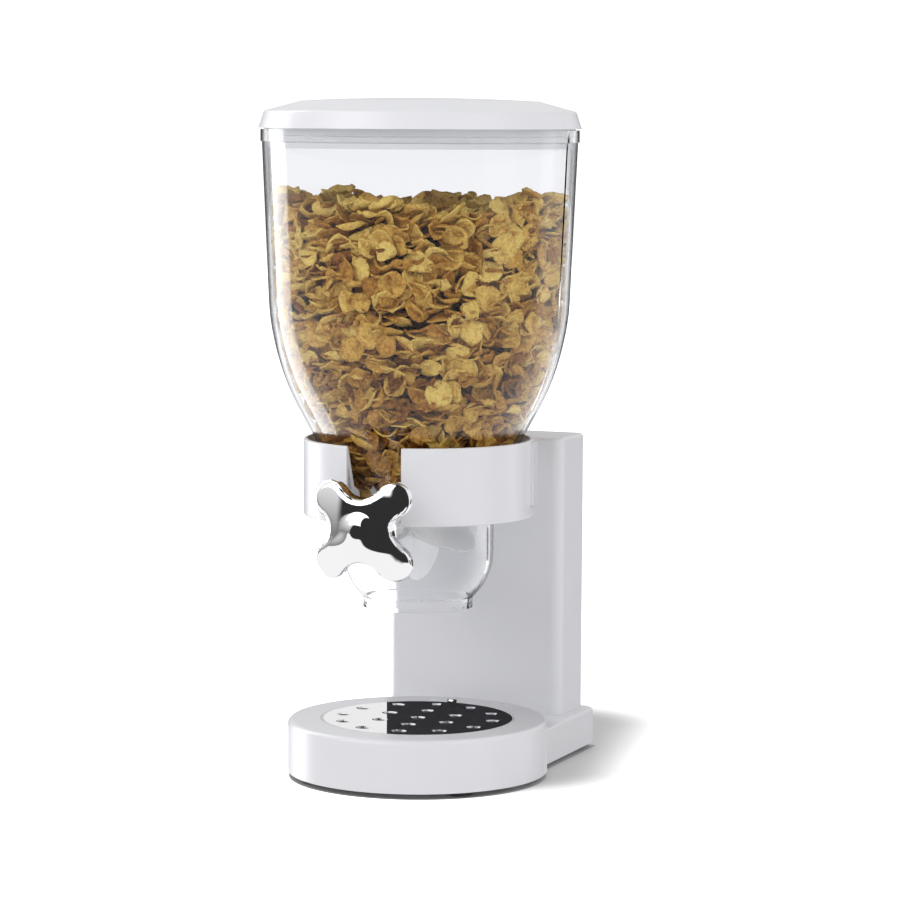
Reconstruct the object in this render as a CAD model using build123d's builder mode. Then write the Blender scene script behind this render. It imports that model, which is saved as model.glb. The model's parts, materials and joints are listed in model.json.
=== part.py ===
from build123d import *

import os
from math import cos, hypot, pi, radians, sin

# A dry-food dispenser. A clear canister with a paddle wheel in its neck sits in a collar on a column,
# above a round base with a crumb tray. Millimetres, +Z up, the knob faces -Y, the floor is Z = 0.
# The origin is on the floor under the middle of the whole dispenser. Sketches and outlines are drawn
# about the canister's upright axis, which stands AXIS_Y from it: radius or x first, then height.

# ---- Driving dimensions ----

WALL = 2.6  # white mouldings
SKIN = 0.3  # gap between curved faces of pieces that move apart
FOOT_H = 3.2  # rubber feet, and the gap under the base
FOOT_R = 8.0
FOOT_EDGE = 0.8
FOOT_STEM_R = 2.6  # stem through the bottom cover, with a barb above it
FOOT_BARB_R = 3.6
FOOT_BARB_H = 1.6

BASE_R = 74.5
BASE_TOP = 33.0
BASE_EDGE = 3.0
HEEL_HALF_W = 63.5  # the lower block behind the round base
HEEL_REAR = 127.0
HEEL_TOP = 24.0
HEEL_CORNER = 10.0
HEEL_EDGE = 2.0

COLUMN_HALF_W = 55.0
COLUMN_FRONT = 84.5
COLUMN_REAR = 126.0
COLUMN_TOP = 189.0
COLUMN_CORNER = 6.0
COLUMN_EDGE = 2.0
HATCH_HALF_W = 49.7  # opening in the column's back
HATCH_LOW = 32.0
HATCH_HIGH = 182.0

COLLAR_R = 65.6
COLLAR_LOW = 151.0
COLLAR_HIGH = 194.6
COLLAR_EDGE = 1.0
SLOT_HALF_W = 16.5
SADDLE_R = 67.6
SADDLE_LOW = 158.0
SADDLE_HIGH = 194.0
SADDLE_FROM = 7.5  # degrees behind the canister's side
NECK_HALF_W = 36.0
NECK_LOW = 160.0

GRILLE_R = 54.3
GRILLE_T = 1.2
GRILLE_TURN = 9.0  # the loose grille lies a little turned
TRAY_FLOOR = 21.0
TRAY_T = 1.6
TRAY_ROUND = 3.0
TAB_HALF_W = 3.0
TAB_H = 2.2
HOLE_R = 3.2
DIMPLE_R = 4.5
DIMPLE_ANGLE = 122  # between the sides of the countersunk dimple
HOLE_RINGS = ((22.5, 6), (44.0, 12))  # ring radius and number of holes

LID_R = 91.4
LID_LOW = 370.0
LID_TOP = 387.2
CROWN_R = 67.0  # edge of the lid's flat crown
CROWN_LOW = 385.4
SHOULDER_R = 88.2  # edge between the lid's slope and its side
SHOULDER_TOP = 379.7
SHOULDER_ROUND = 1.5
PLUG_R = 86.0
PLUG_LOW = 359.0
SEAL_LOW = 362.0
SEAL_HIGH = 366.0

MOUTH_R = 89.6
MOUTH_TOP = 369.2
BEAD_R = 90.1
BEAD_LOW = 362.5
SIDE_R = 85.3  # where the canister's straight side turns into its shoulder
SIDE_LOW = 272.0
CONE_TOP_R = 53.0
CONE_TOP = 180.0
CONE_LOW_R = 45.2
CONE_LOW = 158.0
CHAMBER_R = 43.0
CHAMBER_TOP = 145.2
CHAMBER_LOW = 130.0
BOWL_ROUND = 35.5  # the chamber's bottom is rounded in to the outlet
BOWL_SWEEP = 47.0
OUTLET_R = 30.6
OUTLET_LOW = 98.0
CLEAR_WALL = 2.5

WHEEL_Z = 150.0  # height of the knob's axis
BLADE_R = 36.5
BLADE_COUNT = 6
HUB_R = 8.0
HUB_HALF = 35.0
SNOUT_R = 9.5
SNOUT_FRONT = 57.0
PAD_REAR = 46.0
PAD_INSIDE = 38.0  # inner faces of the chamber's two bearing pads
KNOB_BACK = 73.5  # in front of the canister's axis
KNOB_T = 10.5
LOBE_X = 19.2  # centre of each lobe's round tip
LOBE_Z = 17.6
LOBE_R = 10.0
VALLEY_X = 18.9  # nearest points of the outline between the lobes
VALLEY_Z = 17.9
KNOB_FRONT = 88.0
SHAFT_R = 5.0
SHAFT_SQUARE = 7.0
SHAFT_TIP_R = 3.4
RUNNING = 0.05  # radial running clearance of the shaft

SCREW_R = 1.5
HEAD_R = 3.0
HEAD_H = 1.8
CROSS_L = 3.2  # cross recess in the head
CROSS_W = 0.8
POST_R = 4.2

AXIS_Y = (LID_R - HEEL_REAR) / 2
CANISTER_AXIS = Axis((0, AXIS_Y, 0), (0, 0, 1))

os.makedirs("parts", exist_ok=True)


# ---- Planes about the canister's axis ----


def level(height):
    """Flat plane at a height, x to the right and y to the back."""
    return Plane((0, AXIS_Y, height))


def across(depth):
    """Upright plane across the dispenser, depth behind the canister's axis, looking to the front."""
    return Plane((0, AXIS_Y + depth, 0), x_dir=(1, 0, 0), z_dir=(0, -1, 0))


def radial(angle):
    """Upright plane through the canister's axis, its x pointing out at an angle from +X."""
    a = radians(angle)
    return Plane((0, AXIS_Y, 0), x_dir=(cos(a), sin(a), 0), z_dir=(sin(a), -cos(a), 0))


def mirrored(x, *others):
    """The same place on the left and on the right, for each of the other coordinates."""
    return [(side * x, other) for other in others for side in (-1, 1)]


# ---- Shapes that repeat ----


def turned(points, start=0, arc=360, mode=Mode.ADD):
    """Turn an outline of (radius, height) points about the canister's axis."""
    with BuildSketch(radial(start)) as section:
        with BuildLine():
            Polyline(*points, close=True)
        make_face()
    revolve(section.sketch, axis=CANISTER_AXIS, revolution_arc=arc, mode=mode)


def posts(places, bottom, top, radius, mode=Mode.ADD):
    """Upright round posts, or holes, at (x, y) places."""
    with BuildSketch(level(bottom)) as section:
        with Locations(*places):
            Circle(radius)
    extrude(section.sketch, amount=top - bottom, mode=mode)


def cross_posts(places, front, back, radius, mode=Mode.ADD):
    """Round posts, or holes, along +Y at (x, z) places."""
    with BuildSketch(across(front)) as section:
        with Locations(*places):
            Circle(radius)
    extrude(section.sketch, amount=front - back, mode=mode)


def block(half_width, front, back, bottom, top, mode=Mode.ADD):
    """A block that is centred left to right."""
    with BuildSketch(level(bottom)) as section:
        with Locations((0, (front + back) / 2)):
            Rectangle(2 * half_width, back - front)
    extrude(section.sketch, amount=top - bottom, mode=mode)


def screws(seat, places, length):
    """Pan-head screws whose heads sit on a plane, with shanks along its normal."""
    with BuildSketch(seat) as shanks:
        with Locations(*places):
            Circle(SCREW_R)
    extrude(shanks.sketch, amount=length)
    with BuildSketch(seat) as heads:
        with Locations(*places):
            Circle(HEAD_R)
    extrude(heads.sketch, amount=-HEAD_H)
    with BuildSketch(seat.offset(-HEAD_H)) as slots:
        with Locations(*places):
            Rectangle(CROSS_L, CROSS_W)
            Rectangle(CROSS_W, CROSS_L)
    extrude(slots.sketch, amount=HEAD_H / 2, mode=Mode.SUBTRACT)


def save(piece, name):
    piece.part.label = name
    export_step(piece.part, f"parts/{name}.step")


# ---- Base ----

COVER_TOP = FOOT_H + WALL
HEAD_SINK = HEAD_H + 0.1  # counterbores leave the heads just below the face
FOOT_PLACES = mirrored(44, -44) + mirrored(50, 112)
COVER_SCREW_PLACES = mirrored(64, -12) + mirrored(52, 80)
COLUMN_SCREW_PLACES = mirrored(36, 97, 114)
RECESS_R = GRILLE_R + 1.4
RECESS_WALL_R = RECESS_R + WALL


def base_outline(inset):
    """The round base and the heel behind it, drawn in by an inset."""
    Circle(BASE_R - inset)
    with Locations((0, (HEEL_REAR - inset) / 2)):
        RectangleRounded(2 * (HEEL_HALF_W - inset), HEEL_REAR - inset, HEEL_CORNER - inset)


with BuildPart() as base_shell:
    with BuildSketch(level(FOOT_H)):
        with Locations((0, HEEL_REAR / 2)):
            RectangleRounded(2 * HEEL_HALF_W, HEEL_REAR, HEEL_CORNER)
    extrude(amount=HEEL_TOP - FOOT_H)
    fillet(base_shell.edges().group_by(Axis.Z)[-1], HEEL_EDGE)
    with BuildSketch(level(FOOT_H)):
        Circle(BASE_R)
    extrude(amount=BASE_TOP - FOOT_H)
    rim = base_shell.edges().filter_by(GeomType.CIRCLE).sort_by(Axis.Z)[-1]
    fillet(rim, BASE_EDGE)
    # hollow from below, lower under the heel
    with BuildSketch(level(FOOT_H)):
        base_outline(WALL)
    extrude(amount=HEEL_TOP - WALL - FOOT_H, mode=Mode.SUBTRACT)
    posts([(0, 0)], HEEL_TOP - WALL, BASE_TOP - WALL, BASE_R - WALL, Mode.SUBTRACT)
    # recess for the crumb tray
    posts([(0, 0)], TRAY_FLOOR - WALL, BASE_TOP - WALL, RECESS_WALL_R)
    posts([(0, 0)], TRAY_FLOOR, BASE_TOP, RECESS_R, Mode.SUBTRACT)
    # screw posts for the bottom cover, and holes for the column's screws
    posts(COVER_SCREW_PLACES[:2], COVER_TOP, BASE_TOP - WALL, POST_R)
    posts(COVER_SCREW_PLACES[2:], COVER_TOP, HEEL_TOP - WALL, POST_R)
    posts(COVER_SCREW_PLACES, COVER_TOP, HEEL_TOP - WALL - 2, SCREW_R, Mode.SUBTRACT)
    posts(COLUMN_SCREW_PLACES, HEEL_TOP - WALL, HEEL_TOP, SCREW_R + 0.2, Mode.SUBTRACT)

with BuildPart() as base_bottom_cover:
    with BuildSketch(level(FOOT_H)):
        base_outline(WALL + 0.2)
    extrude(amount=WALL)
    posts(FOOT_PLACES, FOOT_H, COVER_TOP, FOOT_STEM_R, Mode.SUBTRACT)
    posts(COVER_SCREW_PLACES, FOOT_H, COVER_TOP, SCREW_R + 0.2, Mode.SUBTRACT)
    posts(COVER_SCREW_PLACES, FOOT_H, FOOT_H + HEAD_SINK, HEAD_R + 0.2, Mode.SUBTRACT)

with BuildPart() as rubber_feet:
    posts(FOOT_PLACES, 0, FOOT_H, FOOT_R)
    fillet(rubber_feet.edges().group_by(Axis.Z)[0], FOOT_EDGE)
    posts(FOOT_PLACES, FOOT_H, COVER_TOP, FOOT_STEM_R)
    posts(FOOT_PLACES, COVER_TOP, COVER_TOP + FOOT_BARB_H, FOOT_BARB_R)

with BuildPart() as base_cover_screws:
    screws(level(FOOT_H + HEAD_SINK), COVER_SCREW_PLACES, 10)

# ---- Crumb tray and its grille ----

LEDGE_R = GRILLE_R - 1.9  # the step that the grille lies on
LEDGE_TOP = BASE_TOP - GRILLE_T

with BuildPart() as crumb_tray:
    turned(
        [
            (0, TRAY_FLOOR),
            (RECESS_R - SKIN, TRAY_FLOOR),
            (RECESS_R - SKIN, BASE_TOP),
            (GRILLE_R + SKIN, BASE_TOP),
            (GRILLE_R + SKIN, LEDGE_TOP),
            (LEDGE_R, LEDGE_TOP),
            (LEDGE_R, TRAY_FLOOR + TRAY_T),
            (0, TRAY_FLOOR + TRAY_T),
        ]
    )
    inner_corner = crumb_tray.edges().filter_by(GeomType.CIRCLE).group_by(Axis.Z)[1]
    fillet(inner_corner, TRAY_ROUND)

with BuildPart() as tray_grille:
    posts([(0, 0)], LEDGE_TOP, BASE_TOP, GRILLE_R)
    hole_places = [(0, 0)]
    for ring_r, count in HOLE_RINGS:
        for k in range(count):
            turn = radians(GRILLE_TURN + 30 + 360 * k / count)
            hole_places.append((ring_r * cos(turn), ring_r * sin(turn)))
    with Locations(level(BASE_TOP)):
        with Locations(*hole_places):
            CounterSinkHole(HOLE_R, DIMPLE_R, GRILLE_T, DIMPLE_ANGLE)
    block(TAB_HALF_W, GRILLE_R - 3.2, GRILLE_R - 1.6, BASE_TOP, BASE_TOP + TAB_H)

# ---- Column ----

COLUMN_INNER_FRONT = COLUMN_FRONT + WALL
COLUMN_INNER_REAR = COLUMN_REAR - WALL
SADDLE_SCREW_PLACES = mirrored(26, 167, 181)
HATCH_SCREW_PLACES = mirrored(44, 45, 169)


def column_outline(inset):
    """The column's section, drawn in by an inset."""
    with Locations((0, (COLUMN_FRONT + COLUMN_REAR) / 2)):
        depth = COLUMN_REAR - COLUMN_FRONT
        RectangleRounded(2 * (COLUMN_HALF_W - inset), depth - 2 * inset, COLUMN_CORNER - inset)


with BuildPart() as column_shell:
    with BuildSketch(level(HEEL_TOP)):
        column_outline(0)
    extrude(amount=COLUMN_TOP - HEEL_TOP)
    fillet(column_shell.edges().group_by(Axis.Z)[-1], COLUMN_EDGE)
    with BuildSketch(level(HEEL_TOP + WALL)):
        column_outline(WALL)
    extrude(amount=COLUMN_TOP - HEEL_TOP - 2 * WALL, mode=Mode.SUBTRACT)
    block(HATCH_HALF_W, COLUMN_INNER_REAR, COLUMN_REAR, HATCH_LOW, HATCH_HIGH, Mode.SUBTRACT)
    cross_posts(HATCH_SCREW_PLACES, COLUMN_INNER_FRONT, COLUMN_INNER_REAR, POST_R)
    cross_posts(HATCH_SCREW_PLACES, COLUMN_INNER_REAR - 13, COLUMN_INNER_REAR, SCREW_R, Mode.SUBTRACT)
    posts(COLUMN_SCREW_PLACES, HEEL_TOP + WALL, HEEL_TOP + 14, POST_R)
    posts(COLUMN_SCREW_PLACES, HEEL_TOP, HEEL_TOP + 12, SCREW_R, Mode.SUBTRACT)
    cross_posts(SADDLE_SCREW_PLACES, COLUMN_FRONT, COLUMN_INNER_FRONT, SCREW_R + 0.2, Mode.SUBTRACT)

with BuildPart() as column_back_cover:
    hatch_gap = 0.25
    cover_low, cover_high = HATCH_LOW + hatch_gap, HATCH_HIGH - hatch_gap
    block(HATCH_HALF_W - hatch_gap, COLUMN_INNER_REAR, COLUMN_REAR, cover_low, cover_high)
    outer_rim = column_back_cover.edges().group_by(Axis.Y)[-1]
    fillet(outer_rim, 0.5)
    cross_posts(HATCH_SCREW_PLACES, COLUMN_INNER_REAR, COLUMN_REAR, SCREW_R + 0.2, Mode.SUBTRACT)
    cross_posts(HATCH_SCREW_PLACES, COLUMN_REAR - HEAD_SINK, COLUMN_REAR, HEAD_R + 0.2, Mode.SUBTRACT)

with BuildPart() as column_cover_screws:
    screws(across(COLUMN_REAR - HEAD_SINK), HATCH_SCREW_PLACES, 12)

with BuildPart() as column_base_screws:
    screws(level(HEEL_TOP - WALL), COLUMN_SCREW_PLACES, 13)

# ---- Collar and the saddle that carries it ----

SEAT_GAP = 0.35
SEAT_HIGH = 168.0
COLLAR_TAPER_LOW = 171.5
INSIDE_RING = 20.0  # a depth that is well inside the ring
CONE_SLOPE = (CONE_TOP_R - CONE_LOW_R) / (CONE_TOP - CONE_LOW)
COLLAR_SCREW_PLACES = mirrored(14, 167, 181)
NECK_POCKET_FRONT = 71.0
POCKET_ARC = 38.0  # degrees
POCKET_STEP = 41.5
POCKET_STARTS = [first + k * POCKET_STEP for first in (-66.0, 155.5) for k in range(3)]
SEAT_LOW_R = CONE_LOW_R + SEAT_GAP
SEAT_HIGH_R = SEAT_LOW_R + CONE_SLOPE * (SEAT_HIGH - CONE_LOW)

with BuildPart() as canister_collar:
    turned(
        [
            (COLLAR_R, COLLAR_LOW),
            (COLLAR_R, COLLAR_HIGH),
            (COLLAR_R - 2.0, COLLAR_HIGH),
            (COLLAR_R - 10.0, COLLAR_TAPER_LOW),
            (SEAT_HIGH_R, SEAT_HIGH),
            (SEAT_LOW_R, CONE_LOW),
            (SEAT_LOW_R, COLLAR_LOW),
        ]
    )
    outer_length = 2 * pi * COLLAR_R
    outer_edges = canister_collar.edges().filter_by(lambda e: e.length > 0.99 * outer_length)
    fillet(outer_edges, COLLAR_EDGE)
    # pockets from below, three on each side, with ribs between them
    for start in POCKET_STARTS:
        turned(
            [
                (COLLAR_R - 2.4, COLLAR_LOW),
                (COLLAR_R - 2.4, COLLAR_HIGH - 12),
                (COLLAR_R - 7.3, COLLAR_TAPER_LOW - 1.5),
                (SEAT_HIGH_R + 2.6, SEAT_HIGH - 2.6),
                (SEAT_LOW_R + 2.7, CONE_LOW),
                (SEAT_LOW_R + 2.7, COLLAR_LOW),
            ],
            start,
            POCKET_ARC,
            Mode.SUBTRACT,
        )
    block(SLOT_HALF_W, -COLLAR_R - 1, -INSIDE_RING, COLLAR_LOW, COLLAR_HIGH, Mode.SUBTRACT)
    # keyway for the pad on the back of the canister's chamber
    keyway_rear = PAD_REAR + 2.6
    block(SNOUT_R + 1, INSIDE_RING, keyway_rear, COLLAR_LOW, COLLAR_TAPER_LOW, Mode.SUBTRACT)
    cross_posts(COLLAR_SCREW_PLACES, COLLAR_R - 6.1, COLLAR_R, SCREW_R, Mode.SUBTRACT)

with BuildPart() as collar_saddle:
    block(NECK_HALF_W, 45, COLUMN_FRONT, NECK_LOW, COLUMN_TOP)
    posts([(0, 0)], NECK_LOW, COLUMN_TOP, COLLAR_R, Mode.SUBTRACT)
    turned(
        [
            (COLLAR_R, SADDLE_LOW),
            (SADDLE_R, SADDLE_LOW),
            (SADDLE_R, SADDLE_HIGH),
            (COLLAR_R, SADDLE_HIGH),
        ],
        SADDLE_FROM,
        180 - 2 * SADDLE_FROM,
    )
    pocket_low, pocket_high = NECK_LOW + WALL, COLUMN_TOP - WALL
    block(NECK_HALF_W - WALL, NECK_POCKET_FRONT, COLUMN_FRONT, pocket_low, pocket_high, Mode.SUBTRACT)
    cross_posts(SADDLE_SCREW_PLACES, NECK_POCKET_FRONT, COLUMN_FRONT, POST_R)
    cross_posts(SADDLE_SCREW_PLACES, COLUMN_FRONT - 11, COLUMN_FRONT, SCREW_R, Mode.SUBTRACT)
    cross_posts(COLLAR_SCREW_PLACES, 60, NECK_POCKET_FRONT, SCREW_R + 0.2, Mode.SUBTRACT)

with BuildPart() as saddle_screws:
    screws(across(COLUMN_INNER_FRONT), SADDLE_SCREW_PLACES, 12)

with BuildPart() as collar_screws:
    screws(across(NECK_POCKET_FRONT), COLLAR_SCREW_PLACES, 11)

# ---- Canister ----

AXLE = [(0, WHEEL_Z)]
FRONT_BORE_R = 7.0
REAR_BORE_R = 5.5
REAR_BORE_END = PAD_REAR - 2
FLANGE_R = SNOUT_R - 0.5
FLANGE_T = 2.0


def canister_outline(inset):
    """Half section from the canister's axis to its outer face, drawn in by an inset."""
    side = Polyline((0, MOUTH_TOP), (MOUTH_R - inset, MOUTH_TOP), (SIDE_R - inset, SIDE_LOW))
    shoulder = Spline(
        side @ 1,
        (81.3 - inset, 246),
        (73.8 - inset, 223),
        (61.8 - inset, 199.5),
        (CONE_TOP_R - inset, CONE_TOP),
        tangents=((SIDE_R - MOUTH_R, SIDE_LOW - MOUTH_TOP), (-CONE_SLOPE, -1)),
    )
    cone = Line(shoulder @ 1, (CONE_LOW_R - inset, CONE_LOW))
    neck = Spline(cone @ 1, (CHAMBER_R - inset, CHAMBER_TOP), tangents=((-CONE_SLOPE, -1), (0, -1)))
    chamber = Line(neck @ 1, (CHAMBER_R - inset, CHAMBER_LOW))
    bowl_centre = (CHAMBER_R - inset - BOWL_ROUND, CHAMBER_LOW)
    bowl = CenterArc(bowl_centre, BOWL_ROUND, 0, -BOWL_SWEEP)
    Polyline(bowl @ 1, (OUTLET_R - inset, OUTLET_LOW), (0, OUTLET_LOW), (0, MOUTH_TOP))


with BuildPart() as canister:
    for inset, mode in ((0, Mode.ADD), (CLEAR_WALL, Mode.SUBTRACT)):
        with BuildSketch(radial(0)):
            with BuildLine():
                canister_outline(inset)
            make_face()
        revolve(axis=CANISTER_AXIS, mode=mode)
    # beads round the mouth and the outlet
    for outer, depth, low, high in (
        (BEAD_R, 2.0, BEAD_LOW, MOUTH_TOP),
        (OUTLET_R + 0.8, 1.8, OUTLET_LOW, OUTLET_LOW + 2.4),
    ):
        turned([(outer - depth, low), (outer, low), (outer, high), (outer - depth, high)])
    # snout and rear pad, bored for the bushings
    cross_posts(AXLE, -SNOUT_FRONT, -PAD_INSIDE, SNOUT_R)
    cross_posts(AXLE, PAD_INSIDE, PAD_REAR, SNOUT_R)
    cross_posts(AXLE, -SNOUT_FRONT, -PAD_INSIDE, FRONT_BORE_R, Mode.SUBTRACT)
    cross_posts(AXLE, PAD_INSIDE, REAR_BORE_END, REAR_BORE_R, Mode.SUBTRACT)

with BuildPart() as front_shaft_bushing:
    cross_posts(AXLE, -SNOUT_FRONT, -PAD_INSIDE, FRONT_BORE_R)
    cross_posts(AXLE, -SNOUT_FRONT - FLANGE_T, -SNOUT_FRONT, FLANGE_R)
    cross_posts(AXLE, -SNOUT_FRONT - FLANGE_T, -PAD_INSIDE, SHAFT_R + RUNNING, Mode.SUBTRACT)

with BuildPart() as rear_shaft_bushing:
    collar_front = PAD_INSIDE - 1.2
    cross_posts(AXLE, collar_front, PAD_INSIDE, HUB_R)
    cross_posts(AXLE, PAD_INSIDE, REAR_BORE_END, REAR_BORE_R)
    cross_posts(AXLE, collar_front, REAR_BORE_END, SHAFT_TIP_R + RUNNING, Mode.SUBTRACT)

# ---- Paddle wheel ----

BLADE_HALF = HUB_HALF - 1.5
SQUARE_HALF = HUB_HALF + 1
SHAFT_TIP = PAD_REAR - 3
SLEEVE_R = HUB_R + 2
HUB_FLANGE_R = SLEEVE_R + 0.6
BLADE_ROOT_R = HUB_R + 0.5
BLADE_ROOT_HALF_T = 1.4
BLADE_TIP_HALF_T = 0.8


def square_post(size, front, back, mode=Mode.ADD):
    """A square post on the knob's axis."""
    with BuildSketch(across(front)) as section:
        with Locations(*AXLE):
            Rectangle(size, size)
    extrude(section.sketch, amount=front - back, mode=mode)


with BuildPart() as paddle_hub:
    cross_posts(AXLE, -HUB_HALF, HUB_HALF, HUB_R)
    cross_posts(AXLE, -HUB_HALF, -BLADE_HALF, HUB_FLANGE_R)
    cross_posts(AXLE, BLADE_HALF, HUB_HALF, HUB_FLANGE_R)
    square_post(SHAFT_SQUARE + 2 * RUNNING, -HUB_HALF, HUB_HALF, Mode.SUBTRACT)

with BuildPart() as paddle_blades:
    with BuildSketch(across(-BLADE_HALF)):
        with Locations(*AXLE):
            Circle(SLEEVE_R)
            with PolarLocations(0, BLADE_COUNT, start_angle=90):
                Polygon(
                    (BLADE_ROOT_R, -BLADE_ROOT_HALF_T),
                    (BLADE_R, -BLADE_TIP_HALF_T),
                    (BLADE_R, BLADE_TIP_HALF_T),
                    (BLADE_ROOT_R, BLADE_ROOT_HALF_T),
                    align=None,
                )
    extrude(amount=-2 * BLADE_HALF)
    with Locations((0, AXIS_Y, WHEEL_Z)):
        Sphere(BLADE_R, mode=Mode.INTERSECT)
    cross_posts(AXLE, -BLADE_HALF, BLADE_HALF, HUB_R, Mode.SUBTRACT)

# ---- Knob ----


def hollow_arc(along, off, nearest):
    """Distance and radius of the arc between two lobes that touches both and passes nearest the axis."""
    rest = LOBE_R - nearest
    distance = (along**2 + off**2 - rest**2) / (2 * (along + rest))
    return distance, distance - nearest


def touch_point(centre_x, centre_z):
    """Where an arc about this centre touches the lobe's round tip."""
    gap_x, gap_z = centre_x - LOBE_X, centre_z - LOBE_Z
    share = LOBE_R / hypot(gap_x, gap_z)
    return LOBE_X + share * gap_x, LOBE_Z + share * gap_z


def knob_outline():
    """Four round lobes joined by hollow arcs, about the knob's axis."""
    side_x, side_z = touch_point(hollow_arc(LOBE_X, LOBE_Z, VALLEY_X)[0], 0)
    top_x, top_z = touch_point(0, hollow_arc(LOBE_Z, LOBE_X, VALLEY_Z)[0])
    reach = 1 + LOBE_R / hypot(LOBE_X, LOBE_Z)
    for way in (-1, 1):
        ThreePointArc((way * side_x, -side_z), (way * VALLEY_X, 0), (way * side_x, side_z))
        ThreePointArc((-top_x, way * top_z), (0, way * VALLEY_Z), (top_x, way * top_z))
        for up in (-1, 1):
            tip = (way * reach * LOBE_X, up * reach * LOBE_Z)
            ThreePointArc((way * side_x, up * side_z), tip, (way * top_x, up * top_z))


SEAL_GAP = 0.2
STEM_BACK = SNOUT_FRONT + 2 + SEAL_GAP + 1.8
SHAFT_FRONT = KNOB_BACK + 6

with BuildPart() as knob:
    knob_plane = Plane((0, AXIS_Y - KNOB_BACK, WHEEL_Z), x_dir=(1, 0, 0), z_dir=(0, -1, 0))
    with BuildSketch(knob_plane):
        with BuildLine():
            knob_outline()
        make_face()
    extrude(amount=KNOB_T)
    fillet(knob.edges().group_by(Axis.Y)[0], 4.5)
    fillet(knob.edges().group_by(Axis.Y)[-1], 3.0)
    cross_posts(AXLE, -KNOB_FRONT, -KNOB_BACK - 5, 9.5)
    fillet(knob.edges().group_by(Axis.Y)[0], 3.5)
    cross_posts(AXLE, -KNOB_BACK, -STEM_BACK, 8.5)
    cross_posts(AXLE, -SHAFT_FRONT, -STEM_BACK, SHAFT_R, Mode.SUBTRACT)

with BuildPart() as knob_shaft:
    cross_posts(AXLE, -SHAFT_FRONT, -SQUARE_HALF, SHAFT_R)
    square_post(SHAFT_SQUARE, -SQUARE_HALF, SQUARE_HALF)
    cross_posts(AXLE, SQUARE_HALF, SHAFT_TIP, SHAFT_TIP_R)
    chamfer(knob_shaft.edges().group_by(Axis.Y)[-1], 0.8)

with BuildPart() as shaft_seal:
    cross_posts(AXLE, -STEM_BACK, -STEM_BACK + 1.8, SNOUT_R - 0.5)
    cross_posts(AXLE, -STEM_BACK, -STEM_BACK + 1.8, SHAFT_R, Mode.SUBTRACT)

# ---- Lid ----

SKIRT_R = LID_R - 2.5
FLANGE_TOP = LID_LOW + WALL
GROOVE_R = PLUG_R - 1.0
SEAL_R = PLUG_R + 0.4

with BuildPart() as lid_shell:
    with BuildSketch(radial(0)):
        with BuildLine():
            crown = ThreePointArc((0, LID_TOP), (CROWN_R / 2, LID_TOP - 0.45), (CROWN_R, CROWN_LOW))
            Polyline(
                crown @ 1,
                (SHOULDER_R, SHOULDER_TOP),
                (LID_R, LID_LOW),
                (SKIRT_R, LID_LOW),
                (SKIRT_R, FLANGE_TOP),
                (SKIRT_R - 2, FLANGE_TOP),
                (SHOULDER_R - 2.6, SHOULDER_TOP - 2.0),
                (CROWN_R - 0.4, CROWN_LOW - WALL),
                (0, LID_TOP - WALL),
                (0, LID_TOP),
            )
        make_face()
    revolve(axis=CANISTER_AXIS)
    rings = lid_shell.edges().filter_by(GeomType.CIRCLE)
    fillet(rings.filter_by(lambda e: e.radius == SHOULDER_R), SHOULDER_ROUND)

with BuildPart() as lid_plug_ring:
    turned(
        [
            (PLUG_R - 2.4, PLUG_LOW),
            (PLUG_R, PLUG_LOW),
            (PLUG_R, SEAL_LOW),
            (GROOVE_R, SEAL_LOW),
            (GROOVE_R, SEAL_HIGH),
            (PLUG_R, SEAL_HIGH),
            (PLUG_R, MOUTH_TOP),
            (PLUG_R + 1.8, MOUTH_TOP),
            (PLUG_R + 1.8, LID_LOW),
            (SKIRT_R, LID_LOW),
            (SKIRT_R, FLANGE_TOP),
            (PLUG_R - 2.4, FLANGE_TOP),
        ]
    )

with BuildPart() as lid_seal:
    turned(
        [
            (GROOVE_R, SEAL_LOW),
            (SEAL_R, SEAL_LOW + 0.8),
            (SEAL_R, SEAL_HIGH - 0.8),
            (GROOVE_R, SEAL_HIGH),
        ]
    )

# ---- One file for each piece ----

save(base_shell, "base_shell")
save(base_bottom_cover, "base_bottom_cover")
save(rubber_feet, "rubber_feet")
save(base_cover_screws, "base_cover_screws")
save(crumb_tray, "crumb_tray")
save(tray_grille, "tray_grille")
save(column_shell, "column_shell")
save(column_back_cover, "column_back_cover")
save(column_cover_screws, "column_cover_screws")
save(column_base_screws, "column_base_screws")
save(canister_collar, "canister_collar")
save(collar_saddle, "collar_saddle")
save(saddle_screws, "saddle_screws")
save(collar_screws, "collar_screws")
save(canister, "canister")
save(front_shaft_bushing, "front_shaft_bushing")
save(rear_shaft_bushing, "rear_shaft_bushing")
save(paddle_hub, "paddle_hub")
save(paddle_blades, "paddle_blades")
save(knob, "knob")
save(knob_shaft, "knob_shaft")
save(shaft_seal, "shaft_seal")
save(lid_shell, "lid_shell")
save(lid_plug_ring, "lid_plug_ring")
save(lid_seal, "lid_seal")
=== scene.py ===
import json
from math import atan2, cos, hypot, pi, radians, sin

import bpy
import numpy as np
from mathutils import Matrix, Vector


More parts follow.
